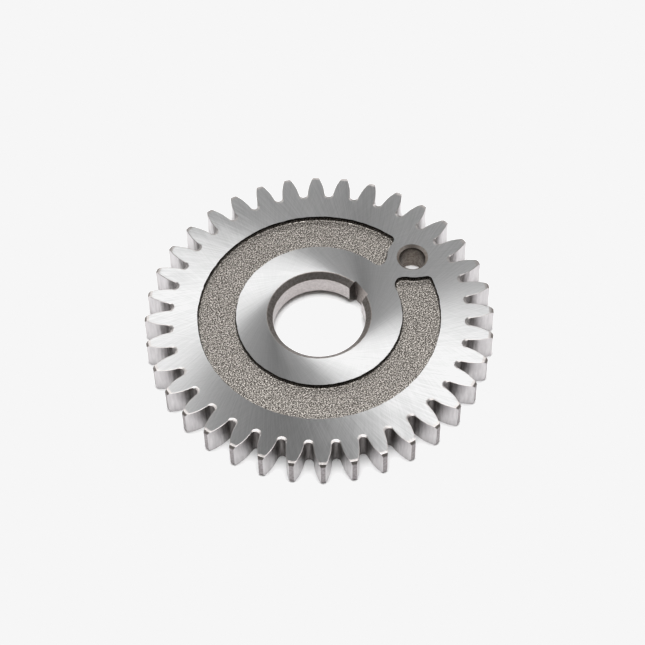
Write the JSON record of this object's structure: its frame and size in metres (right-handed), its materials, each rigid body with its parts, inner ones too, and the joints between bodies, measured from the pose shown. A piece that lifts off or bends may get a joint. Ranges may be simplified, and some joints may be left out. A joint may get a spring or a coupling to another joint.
{
  "type": "spur drive gear",
  "caption": "Flat spur drive gear with a keyed, chamfered bore, a small pin hole through a boss, and a shallow cast recess in its upper face.",
  "frame": {"origin": "bore axis at the flat lower face, which is the face the gear rests on", "axes": "+Z along the bore axis to the recessed upper face; +X through the key seat and the pin hole, on the middle line of a tooth space"},
  "size_m": [0.0676, 0.0676, 0.0065],
  "materials": {
    "machined_steel": "ground faces with a fine lay, hobbed teeth, bare as-cast recess"
  },
  "bodies": {
    "root": {"drive_gear": "machined_steel"}
  },
  "joints": []
}
